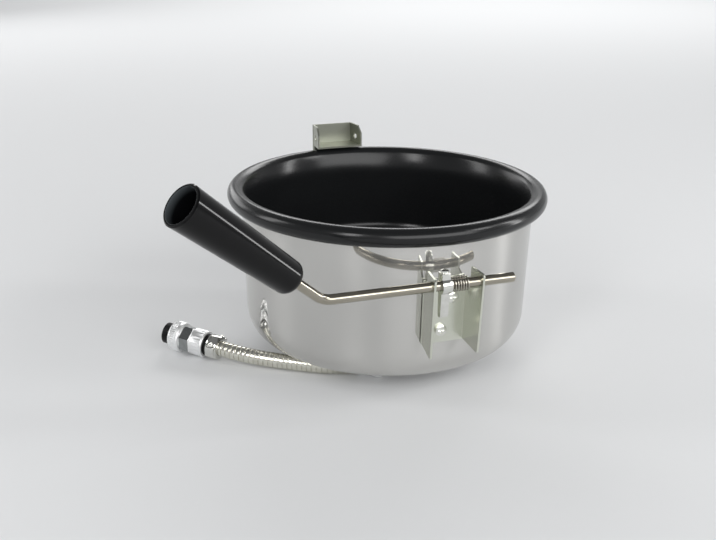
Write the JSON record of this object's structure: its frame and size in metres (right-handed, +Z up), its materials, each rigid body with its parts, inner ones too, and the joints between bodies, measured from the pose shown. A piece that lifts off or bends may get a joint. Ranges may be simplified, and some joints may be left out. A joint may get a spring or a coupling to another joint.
{
  "type": "popcorn machine kettle",
  "caption": "Electric popcorn kettle: black rolled-rim pot in a polished shell, with a sprung bent-rod handle, a rear hinge bracket and a ribbed hose ending in a round plug.",
  "frame": {"origin": "centre of the bottom cover's face, on the table", "axes": "+Z up along the pot's axis, -Y towards the front bracket, +X towards the rod's free end"},
  "size_m": [0.3204, 0.3065, 0.1893],
  "materials": {
    "pot": "black coating, semi-gloss",
    "shell": "mirror-polished stainless steel",
    "casting": "as cast",
    "element": "oxidised sheath",
    "plain_steel": "plated",
    "insulation": "fibre felt",
    "porcelain": "unglazed",
    "black_plastic": "moulded",
    "bracket": "satin",
    "screws": "plated",
    "rod": "drawn",
    "grip": "black moulding",
    "lever": "satin",
    "spring": "wire",
    "plug_metal": "satin plate",
    "hose": "wound strip",
    "contacts": "turned"
  },
  "bodies": {
    "kettle": {"inner_pot": "pot", "outer_shell": "shell", "heater_ring": "casting", "heater_element": "element", "clamp_plate": "plain_steel", "centre_stud": "plain_steel", "clamp_nut": "plain_steel", "insulation_pad": "insulation", "thermostat": "porcelain", "thermal_cutout": "porcelain", "terminal_block": "porcelain", "bottom_cover": "shell", "cover_nut": "plain_steel", "cover_plug": "black_plastic", "front_bracket": "bracket", "front_bracket_screws": "screws", "return_spring": "spring", "rear_bracket": "bracket", "rear_bracket_screws": "screws", "hose_elbow": "plug_metal", "elbow_locknut": "plain_steel", "hose": "hose", "plug_clamp": "plug_metal", "plug_clamp_screws": "screws", "plug_sleeve": "plug_metal", "plug_barrel": "plug_metal", "plug_insert": "black_plastic", "plug_pins": "contacts"},
    "handle": {"handle_rod": "rod", "grip": "grip", "grip_nut": "plain_steel", "latch_lever": "lever", "lever_screw": "screws"},
    "coupling": {"coupling_nut": "plug_metal"}
  },
  "joints": [
    {"name": "handle_turn", "type": "hinge", "parent": "kettle", "child": "handle", "pos_m": [0, -0.12867, 0.09689], "axis": [1, 0, 0], "range_deg": [-20, 38], "stiffness_Nm_per_rad": 0.2, "springref_deg": -3.44, "deforming": ["return_spring"]},
    {"name": "coupling_spin", "type": "hinge", "parent": "kettle", "child": "coupling", "pos_m": [-0.15946, 0.03446, 0.01274], "axis": [-0.7051, 0.7051, 0.0755], "continuous": true}
  ]
}
